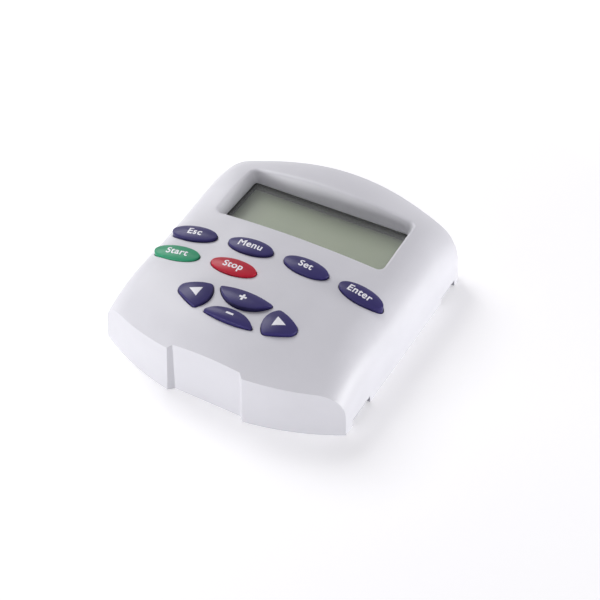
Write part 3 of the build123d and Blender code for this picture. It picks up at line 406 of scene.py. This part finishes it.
def node_finishes():
    """The finish of every CAD node that keeps its own mesh."""
    display = settings("display")
    steel = bright_metal("zinc_plated_steel", "#B4B7BB", 0.3)
    tin = bright_metal("tinned_brass", "#C9C7C0", 0.25)
    brass = bright_metal("turned_brass", "#C9A85A", 0.25)
    board = glass_epoxy("solder_masked_laminate")
    nylon = moulded_black("glass_filled_nylon")
    epoxy = moulded_black("moulding_epoxy", "#141416", 0.6)
    pill = grey_rubber("carbon_filled_silicone", "#0D0D0E", "#18181A", 0.7)
    found = {
        "window_lens": clear_acrylic("cast_acrylic"),
        "window_gasket": closed_foam("neoprene_foam"),
        "lcd_bezel": black_enamel("stoved_black_enamel"),
        "lcd_glass": display_glass("liquid_crystal_glass", display.glass,
                                   (display.cell_width, display.cell_height), middle_of("lcd_glass")),
        "lcd_backlight": milky_guide("acrylic_light_guide"),
        "lcd_contact_strips": grey_rubber("layered_conductive_silicone", "#4A4A4E", "#5C5C61", 0.6),
        "lcd_board": board, "key_board": board, "main_board": board,
        "lcd_driver_chips": epoxy, "controller_chip": epoxy, "voltage_regulator": epoxy, "sounder": epoxy,
        "lcd_header": nylon, "key_header": nylon,
        "lcd_header_pins": tin, "key_header_pins": tin, "socket_pins": tin,
        "key_contacts": bright_metal("gold_flashed_copper", "#D8B25A", 0.2),
        "key_mat": grey_rubber("grey_silicone", "#85868A", "#93949A", 0.6),
        "key_board_screws": steel, "main_board_screws": steel,
        "standoffs_rear": brass, "standoffs_front": brass,
        "socket_shell": moulded_black("dark_grey_nylon", "#26262A", 0.48),
        "crystal": bright_metal("drawn_nickel_silver", "#CFCDC6", 0.22),
        "capacitors": moulded_black("capacitor_sleeve", "#171C30", 0.25),
    }
    for key in KEYS:
        found["pill_" + key] = pill
    return found


# ------------------------------------------------------------------ meshes
def middle_of(name):
    """Middle of a CAD node's box."""
    low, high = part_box(name)
    return (low + high) / 2


def add_object(name, data):
    """A new object in the scene."""
    made = bpy.data.objects.new(name, data)
    bpy.context.scene.collection.objects.link(made)
    return made


def evaluated_mesh(obj):
    """The plain mesh of an object as it stands, with its modifiers run."""
    bpy.context.view_layer.update()
    graph = bpy.context.evaluated_depsgraph_get()
    return bpy.data.meshes.new_from_object(obj.evaluated_get(graph), depsgraph=graph)


def smoothing_tree():
    """Geometry nodes: join loose triangles, smooth the faces and keep edges sharper than an angle."""
    tree = bpy.data.node_groups.new("moulded_skin", "GeometryNodeTree")
    face = tree.interface
    face.new_socket("Geometry", in_out="INPUT", socket_type="NodeSocketGeometry")
    for label in ("Join distance", "Sharp angle"):
        face.new_socket(label, in_out="INPUT", socket_type="NodeSocketFloat")
    face.new_socket("Finish", in_out="INPUT", socket_type="NodeSocketMaterial")
    face.new_socket("Geometry", in_out="OUTPUT", socket_type="NodeSocketGeometry")
    given = node(tree, "NodeGroupInput")
    joined = node(tree, "GeometryNodeMergeByDistance",
                  links={"Geometry": given.outputs["Geometry"], "Distance": given.outputs["Join distance"]})
    smooth = node(tree, "GeometryNodeSetShadeSmooth", links={"Geometry": joined.outputs["Geometry"]},
                  values={"Shade Smooth": True}, domain="FACE")
    angle = node(tree, "GeometryNodeInputMeshEdgeAngle")
    sharp = node(tree, "FunctionNodeCompare", data_type="FLOAT", operation="GREATER_THAN",
                 links={"A": angle.outputs["Unsigned Angle"], "B": given.outputs["Sharp angle"]})
    edged = node(tree, "GeometryNodeSetShadeSmooth",
                 links={"Geometry": smooth.outputs["Geometry"], "Selection": sharp.outputs["Result"]},
                 values={"Shade Smooth": False}, domain="EDGE")
    real = node(tree, "GeometryNodeRealizeInstances", links={"Geometry": edged.outputs["Geometry"]})
    coated = node(tree, "GeometryNodeSetMaterial",
                  links={"Geometry": real.outputs["Geometry"], "Material": given.outputs["Finish"]})
    node(tree, "NodeGroupOutput", links={"Geometry": coated.outputs["Geometry"]})
    return tree


def run_tree(obj, tree, values):
    """Run a geometry node tree on an object and keep the result as its plain mesh."""
    modifier = obj.modifiers.new(tree.name, "NODES")
    modifier.node_group = tree
    for item in tree.interface.items_tree:
        if item.item_type == "SOCKET" and item.in_out == "INPUT" and item.name in values:
            modifier[item.identifier] = values[item.name]
    obj.update_tag()
    result = evaluated_mesh(obj)
    result.name = obj.name
    obj.modifiers.remove(modifier)
    obj.data = result


def shared_tree(name, build):
    """A node tree made once and used again."""
    return bpy.data.node_groups.get(name) or build()


def moulded_piece(name, source, finish, body):
    """A smooth-skinned piece in the place of a CAD node, from a copy of the node's mesh."""
    mesh = frame["nodes"][source].data.copy()
    mesh.materials.clear()
    piece = add_object(name, mesh)
    run_tree(piece, shared_tree("moulded_skin", smoothing_tree),
             {"Join distance": JOIN_DISTANCE, "Sharp angle": settings("shell").sharp_angle, "Finish": finish})
    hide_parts(source)
    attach(piece, body)
    return piece


def clear_of_mat(cap, key):
    """Raise what lies above the mat's collar but wouldn't clear it with the key all the way down."""
    collar_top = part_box("key_mat")[1].z
    travel = next(joint["range_m"][1] for joint in frame["joints"] if joint["child"] == key + "_key")
    lowest = collar_top + travel + settings("keys").mat_clearance
    # only the points near the top of this range need it, but the lower ones are raised as well
    for vertex in cap.data.vertices:
        if collar_top < vertex.co.z < lowest:
            vertex.co.z = lowest


def projection_tree():
    """Geometry nodes: lay a flat mesh on a key from above, lifted by the thickness of the ink."""
    tree = bpy.data.node_groups.new("print_on_key", "GeometryNodeTree")
    face = tree.interface
    face.new_socket("Geometry", in_out="INPUT", socket_type="NodeSocketGeometry")
    face.new_socket("Key", in_out="INPUT", socket_type="NodeSocketObject")
    face.new_socket("Ink", in_out="INPUT", socket_type="NodeSocketFloat")
    face.new_socket("Finish", in_out="INPUT", socket_type="NodeSocketMaterial")
    face.new_socket("Geometry", in_out="OUTPUT", socket_type="NodeSocketGeometry")
    given = node(tree, "NodeGroupInput")
    key = node(tree, "GeometryNodeObjectInfo", links={"Object": given.outputs["Key"]},
               transform_space="ORIGINAL")
    hit = node(tree, "GeometryNodeRaycast", links={"Target Geometry": key.outputs["Geometry"]},
               values={"Ray Direction": (0, 0, -1), "Ray Length": RAY_LENGTH})
    lift = node(tree, "ShaderNodeCombineXYZ", links={"Z": given.outputs["Ink"]})
    place = node(tree, "ShaderNodeVectorMath", operation="ADD",
                 links={0: hit.outputs["Hit Position"], 1: lift.outputs["Vector"]})
    laid = node(tree, "GeometryNodeSetPosition",
                links={"Geometry": given.outputs["Geometry"], "Position": place.outputs["Vector"],
                       "Selection": hit.outputs["Is Hit"]})
    smooth = node(tree, "GeometryNodeSetShadeSmooth", links={"Geometry": laid.outputs["Geometry"]},
                  values={"Shade Smooth": True})
    real = node(tree, "GeometryNodeRealizeInstances", links={"Geometry": smooth.outputs["Geometry"]})
    coated = node(tree, "GeometryNodeSetMaterial",
                  links={"Geometry": real.outputs["Geometry"], "Material": given.outputs["Finish"]})
    node(tree, "NodeGroupOutput", links={"Geometry": coated.outputs["Geometry"]})
    return tree


# ------------------------------------------------------------------ legends
def key_place(key):
    """Middle of a key's top, and the turn of its long axis. The lean follows the arc of the key rows."""
    middle = middle_of("key_" + key)
    lean = 0.0
    if key in WORDS:
        sag = middle_of("key_menu").y - middle_of("key_esc").y
        half_inner, half_outer = middle_of("key_set").x, middle_of("key_enter").x
        lean = -2 * sag * middle.x / (half_outer**2 - half_inner**2)
    return Vector((middle.x, middle.y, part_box("key_" + key)[1].z)), lean


def mesh_of(curve):
    """The mesh of a curve that nothing else uses. The curve goes."""
    made = add_object(curve.name, curve)
    mesh = evaluated_mesh(made)
    bpy.data.objects.remove(made)
    bpy.data.curves.remove(curve)
    return mesh


def outlines(mesh):
    """The closed outlines of an unfilled flat mesh, each a list of points in order."""
    beside = {vertex.index: [] for vertex in mesh.vertices}
    for edge in mesh.edges:
        first, second = edge.vertices
        beside[first].append(second)
        beside[second].append(first)
    left, loops = set(beside), []
    while left:
        at, loop = min(left), []
        while at in left:
            left.discard(at)
            place = mesh.vertices[at].co.to_2d()
            if not loop or (place - loop[-1]).length > SAME_POINT:
                loop.append(place)
            at = next((other for other in beside[at] if other in left), at)
        if (loop[0] - loop[-1]).length < SAME_POINT:
            loop.pop()
        loops.append(loop)
    return loops


def sides(loop):
    """The sides of an outline, as pairs of points."""
    return list(zip(loop, loop[1:] + loop[:1]))


def encloses(loop, point):
    """Whether a point lies inside an outline."""
    crossed = sum((a.y > point.y) != (b.y > point.y)
                  and point.x < a.x + (point.y - a.y) * (b.x - a.x) / (b.y - a.y) for a, b in sides(loop))
    return crossed % 2 == 1


def gap(point, a, b):
    """Distance from a point to a side."""
    along = b - a
    share = (point - a).dot(along) / along.length_squared
    return (point - a - along * min(max(share, 0.0), 1.0)).length


def crossing(start, along, other_start, other_along):
    """Where two lines cross, or None for lines that run alongside each other."""
    turn = along.x * other_along.y - along.y * other_along.x
    if abs(turn) < ALONGSIDE:
        return None
    apart = other_start - start
    return start + along * (apart.x * other_along.y - apart.y * other_along.x) / turn


def clear_of(point, walls, by, but=None):
    """Whether a point is at least this far from every side, apart from those that end at one point."""
    return all(gap(point, a, b) > STILL_CLEAR * by for a, b in walls if a is not but and b is not but
               and min(a.x, b.x) - by < point.x < max(a.x, b.x) + by
               and min(a.y, b.y) - by < point.y < max(a.y, b.y) + by)


def grow(loop, loops, by):
    """An outline moved outwards from the ink. Where it would fold over, its sides end where they cross."""
    turning = sum(a.x * b.y - b.x * a.y for a, b in sides(loop))
    hole = sum(encloses(other, loop[0]) for other in loops if other is not loop) % 2 == 1
    side = 1.0 if (turning > 0) != hole else -1.0
    outward = [Vector((b.y - a.y, a.x - b.x)).normalized() * side for a, b in sides(loop)]
    walls = [pair for other in loops for pair in sides(other)]
    kept = []
    for i, place in enumerate(loop):
        before, after = outward[i - 1], outward[i]
        share = 1 + before.dot(after)
        if side * (before.x * after.y - before.y * after.x) > 0:
            share = max(share, SHARPEST)
        moved = place + (before + after) * by / max(share, DOUBLED_BACK)
        if clear_of(moved, walls, by, place):
            kept.append((i, moved))
    grown = []
    for (i, here), (j, _) in sides(kept):
        grown.append(here)
        if (j - i) % len(loop) > 1:
            corner = crossing(loop[i] + outward[i] * by, loop[(i + 1) % len(loop)] - loop[i],
                              loop[j] + outward[j - 1] * by, loop[j] - loop[j - 1])
            if corner and clear_of(corner, walls, by):
                grown.append(corner)
    return grown


def room_in(loops, point):
    """Distance from a point in the ink to the nearest side, and zero outside the ink."""
    around = [loop for loop, low, high in loops if low.x < point.x < high.x and low.y < point.y < high.y]
    if sum(encloses(loop, point) for loop in around) % 2 == 0:
        return 0.0
    return min(gap(point, a, b) for loop in around for a, b in sides(loop))


def divided(loop, grid):
    """An outline with points added, so that no side is longer than the grid."""
    made = []
    for a, b in sides(loop):
        steps = math.ceil((b - a).length / grid)
        made += [a.lerp(b, i / steps) for i in range(steps)]
    return made


def filled(name, loops, grid):
    """A flat mesh of filled outlines, with a grid of points inside so that it can follow a curved surface."""
    loops = [divided(loop, grid) for loop in loops]
    points, edges = [], []
    for loop in loops:
        first = len(points)
        points += loop
        edges += [(first + i, first + (i + 1) % len(loop)) for i in range(len(loop))]
    left, right = min(place.x for place in points), max(place.x for place in points)
    low, high = min(place.y for place in points), max(place.y for place in points)
    boxed = [(loop, Vector((min(place.x for place in loop), min(place.y for place in loop))),
              Vector((max(place.x for place in loop), max(place.y for place in loop)))) for loop in loops]
    lattice = [Vector((left + (i + 0.5) * grid, low + (j + 0.5) * grid))
               for i in range(int((right - left) / grid)) for j in range(int((high - low) / grid))]
    inside = [place for place in lattice if room_in(boxed, place) > EDGE_ROOM * grid]
    places, _, faces = delaunay_2d_cdt(
        points + inside, edges, [], TRIANGLES_INSIDE, SAME_CORNER, False)[:3]
    inked = [face for face in faces if room_in(boxed, sum((places[i] for i in face), Vector((0, 0))) / 3) > 0]
    mesh = bpy.data.meshes.new(name)
    mesh.from_pydata([(place.x, place.y, 0.0) for place in places], [], inked)
    return mesh


def lettering(word, cap_height, boldness):
    """A flat mesh of a word in plain bold type, centred, its capitals this high."""
    typed = bpy.data.curves.new("type_" + word, "FONT")
    typed.body = word
    typed.size = 1.0
    typed.resolution_u = TYPE_STEPS
    typed.space_character = 1.0 + TYPE_SPACING * boldness
    typed.fill_mode = "NONE"
    loops = outlines(mesh_of(typed))
    mesh = filled("type_" + word, [grow(loop, loops, boldness) for loop in loops], TYPE_GRID)
    # a word begins with a capital, so its first letter's top is the height of the capitals
    across = sorted(v.co.x for v in mesh.vertices)
    first = across[0] + FIRST_LETTER
    top = max(v.co.y for v in mesh.vertices if v.co.x < first)
    low = min(v.co.y for v in mesh.vertices if v.co.x < first)
    share = cap_height / (top - low)
    middle_x = (across[0] + across[-1]) / 2
    for vertex in mesh.vertices:
        vertex.co = Vector(((vertex.co.x - middle_x) * share, (vertex.co.y - (top + low) / 2) * share, 0.0))
    return mesh


def sign_outline(sign, size):
    """Outline of an arrow head, a plus or a minus."""
    half, reach = size / 2, size * HEAD_REACH
    arm, stroke = size * ARM, size * HALF_STROKE
    if sign in ("left", "right"):
        side = -1 if sign == "left" else 1
        loop = [(-side * reach, -half), (side * reach, 0.0), (-side * reach, half)]
    elif sign == "minus":
        loop = [(-arm, -stroke), (arm, -stroke), (arm, stroke), (-arm, stroke)]
    else:
        arms = [(arm, -stroke), (arm, stroke), (stroke, stroke)]
        loop = arms + [(-y, x) for x, y in arms] + [(-x, -y) for x, y in arms] + [(y, -x) for x, y in arms]
    return [Vector(place) for place in loop]


def legend(key, ink):
    """The print on one key, laid on its dome."""
    keys = settings("keys")
    middle, lean = key_place(key)
    if key in WORDS:
        mesh = lettering(WORDS[key], keys.cap_height, keys.boldness)
    else:
        mesh = filled("sign_" + key, [sign_outline(key, keys.sign_size)], SIGN_GRID)
    turn, lift = (math.cos(lean), math.sin(lean)), middle.z + PRINT_DROP
    for vertex in mesh.vertices:
        x, y = vertex.co.x, vertex.co.y
        vertex.co = Vector((middle.x + x * turn[0] - y * turn[1], middle.y + x * turn[1] + y * turn[0], lift))
    piece = add_object("legend_" + key, mesh)
    run_tree(piece, shared_tree("print_on_key", projection_tree),
             {"Key": frame["nodes"]["key_" + key], "Ink": keys.ink, "Finish": ink})
    body = piece.modifiers.new("body", "SOLIDIFY")
    body.thickness = INK_BODY * keys.ink
    body.offset = -1
    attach(piece, key + "_key")


# ------------------------------------------------------------------ operators
class KEYPAD_OT_shell(bpy.types.Operator):
    """Give the front housing and the back their moulded skin."""

    bl_idname = "keypad.shell"
    bl_label = "Shell"

    def execute(self, context):
        shell = settings("shell")
        front = moulded_abs("abs_front", shell.colour, shell.grain, shell.grain_depth, shell.edge_break)
        back = moulded_abs("abs_back", shell.back_colour, shell.grain, shell.grain_depth * 2,
                           shell.edge_break, roughness=0.6)
        moulded_piece("shell_front", "front_housing", front, ROOT)
        moulded_piece("shell_back", "back_cover", back, ROOT)
        return {"FINISHED"}


class KEYPAD_OT_keys(bpy.types.Operator):
    """Make the silicone keys and their printed legends."""

    bl_idname = "keypad.keys"
    bl_label = "Keys"

    def execute(self, context):
        keys = settings("keys")
        violet = silicone("silicone_violet", keys.violet)
        finishes = {"start": (silicone("silicone_green", keys.green), "key_green"),
                    "stop": (silicone("silicone_red", keys.red), "key_red")}
        ink = printed_ink("legend_ink", keys.legend)
        for key in KEYS:
            finish, record_slot = finishes.get(key, (violet, "key_violet"))
            cap = moulded_piece("cap_" + key, "key_" + key, finish, key + "_key")
            clear_of_mat(cap, key)
            legend(key, ink)
        return {"FINISHED"}


class KEYPAD_OT_finishes(bpy.types.Operator):
    """Give every other CAD node its finish."""

    bl_idname = "keypad.finishes"
    bl_label = "Finishes"

    def execute(self, context):
        for name, finish in node_finishes().items():
            data = frame["nodes"][name].data
            data.materials.clear()
            data.materials.append(finish)
        return {"FINISHED"}


class KEYPAD_OT_stage(bpy.types.Operator):
    """Set up floor, lamps and camera."""

    bl_idname = "keypad.stage"
    bl_label = "Stage"

    def execute(self, context):
        add_floor()
        add_lamps()
        add_camera()
        return {"FINISHED"}


class KEYPAD_PT_panel(bpy.types.Panel):
    """Lists the keypad's operators."""

    bl_idname = "KEYPAD_PT_panel"
    bl_label = "Keypad"
    bl_space_type = "VIEW_3D"
    bl_region_type = "UI"
    bl_category = "Keypad"

    def draw(self, context):
        for kind in OPERATORS:
            self.layout.operator(kind.bl_idname)


# ------------------------------------------------------------------ stage
def seen_by(tree, *kinds):
    """1 for rays of these kinds, such as those from the camera, and 0 for all others."""
    rays = node(tree, "ShaderNodeLightPath")
    seen = rays.outputs[kinds[0]]
    for kind in kinds[1:]:
        seen = node(tree, "ShaderNodeMath", operation="MAXIMUM",
                    links={0: seen, 1: rays.outputs[kind]}).outputs["Value"]
    return seen


def add_floor():
    """A wide pale floor. It keeps the object's shadow and washes out to white away from it."""
    low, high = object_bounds()
    reach = FLOOR_REACH * (high - low).length
    corners = [(x * reach, y * reach, low.z) for x, y in ((-1, -1), (1, -1), (1, 1), (-1, 1))]
    mesh = bpy.data.meshes.new("floor")
    mesh.from_pydata(corners, [], [(0, 1, 2, 3)])
    floor = add_object("floor", mesh)
    made, tree, shader = material("pale_floor", {
        "Base Color": tone(settings("stage").floor), "Roughness": 0.9, "Specular IOR Level": 0.1,
        "Emission Color": tone("#FFFFFF")})
    # a glow of 0.3 out to 0.15 m, where the shadow lies, which grows to the full white of 1 at 0.5 m
    place = node(tree, "ShaderNodeTexCoord")
    distance = node(tree, "ShaderNodeVectorMath", operation="LENGTH", links={0: place.outputs["Object"]})
    wash = node(tree, "ShaderNodeMapRange", links={"Value": distance.outputs["Value"]},
                values={"From Min": 0.15, "From Max": 0.5, "To Min": 0.3, "To Max": 1.0})
    glow = node(tree, "ShaderNodeMath", operation="MULTIPLY",
                links={0: seen_by(tree, "Is Camera Ray", "Is Glossy Ray"), 1: wash.outputs["Result"]})
    tree.links.new(glow.outputs["Value"], shader.inputs["Emission Strength"])
    mesh.materials.append(made)
    floor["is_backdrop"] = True


def direction(azimuth, elevation):
    """The way from the object to a lamp or the camera. Azimuth 0 is in front, a quarter turn is right."""
    flat = math.cos(elevation)
    return Vector((math.sin(azimuth) * flat, -math.cos(azimuth) * flat, math.sin(elevation)))


def area_lamp(name, azimuth, elevation, distance, size, power):
    """A soft lamp aimed at the object, its angles in degrees. size is width and height."""
    lamp = bpy.data.lights.new(name, "AREA")
    lamp.shape = "RECTANGLE"
    lamp.size, lamp.size_y = size
    lamp.energy = power
    made = add_object(name, lamp)
    back = direction(math.radians(azimuth), math.radians(elevation))
    made.location = back * distance
    made.rotation_mode = "QUATERNION"
    made.rotation_quaternion = back.to_track_quat("Z", "Y")


def add_lamps():
    """A large soft lamp from the back left, two low strips in front and to the right, and a white room."""
    area_lamp("main_lamp", azimuth=-118, elevation=44, distance=0.75, size=(0.4, 0.4), power=3.4)
    area_lamp("front_lamp", azimuth=-24, elevation=6, distance=0.5, size=(0.35, 0.06), power=1.55)
    area_lamp("right_lamp", azimuth=100, elevation=4.4, distance=0.6, size=(0.35, 0.05), power=2.8)
    world = bpy.data.worlds.new("white_room")
    bpy.context.scene.world = world
    world.use_nodes = True
    tree = world.node_tree
    tree.nodes.clear()
    room = node(tree, "ShaderNodeBackground", values={"Color": tone("#FAF6FF"), "Strength": 0.33})
    white = node(tree, "ShaderNodeBackground", values={"Color": tone("#FFFFFF"), "Strength": 1.0})
    both = node(tree, "ShaderNodeMixShader",
                links={0: seen_by(tree, "Is Camera Ray", "Is Glossy Ray", "Is Transmission Ray"),
                       1: room.outputs[0], 2: white.outputs[0]})
    node(tree, "ShaderNodeOutputWorld", links={"Surface": both.outputs[0]})


def add_camera():
    """The camera, looking down on the keypad from the right of its front."""
    stage = settings("stage")
    camera = bpy.data.cameras.new("camera")
    camera.sensor_width = SENSOR_WIDTH
    camera.lens = stage.camera_lens
    camera.clip_start = NEAREST_SEEN
    made = add_object("camera", camera)
    back = direction(stage.camera_yaw, stage.camera_pitch)
    made.location = Vector(stage.camera_target) + back * stage.camera_distance
    made.rotation_mode = "QUATERNION"
    made.rotation_quaternion = (-back).to_track_quat("-Z", "Y")
    bpy.context.scene.camera = made
    bpy.context.scene.view_settings.view_transform = "Standard"


# ------------------------------------------------------------------ registration
GROUPS = {"shell": ShellSettings, "keys": KeySettings, "display": DisplaySettings, "stage": StageSettings}
OPERATORS = (KEYPAD_OT_shell, KEYPAD_OT_keys, KEYPAD_OT_finishes, KEYPAD_OT_stage)


def register():
    """Register the classes and hang the settings on the scene."""
    for name, group in GROUPS.items():
        bpy.utils.register_class(group)
        setattr(bpy.types.Scene, "keypad_" + name, bpy.props.PointerProperty(type=group))
    for kind in (*OPERATORS, KEYPAD_PT_panel):
        bpy.utils.register_class(kind)


def unregister():
    """Undo register."""
    for kind in reversed((*OPERATORS, KEYPAD_PT_panel)):
        bpy.utils.unregister_class(kind)
    for name, group in GROUPS.items():
        delattr(bpy.types.Scene, "keypad_" + name)
        bpy.utils.unregister_class(group)


def main():
    """Build everything in order."""
    register()
    bpy.ops.keypad.shell()
    bpy.ops.keypad.keys()
    bpy.ops.keypad.finishes()
    bpy.ops.keypad.stage()


if __name__ == "__main__":
    main()
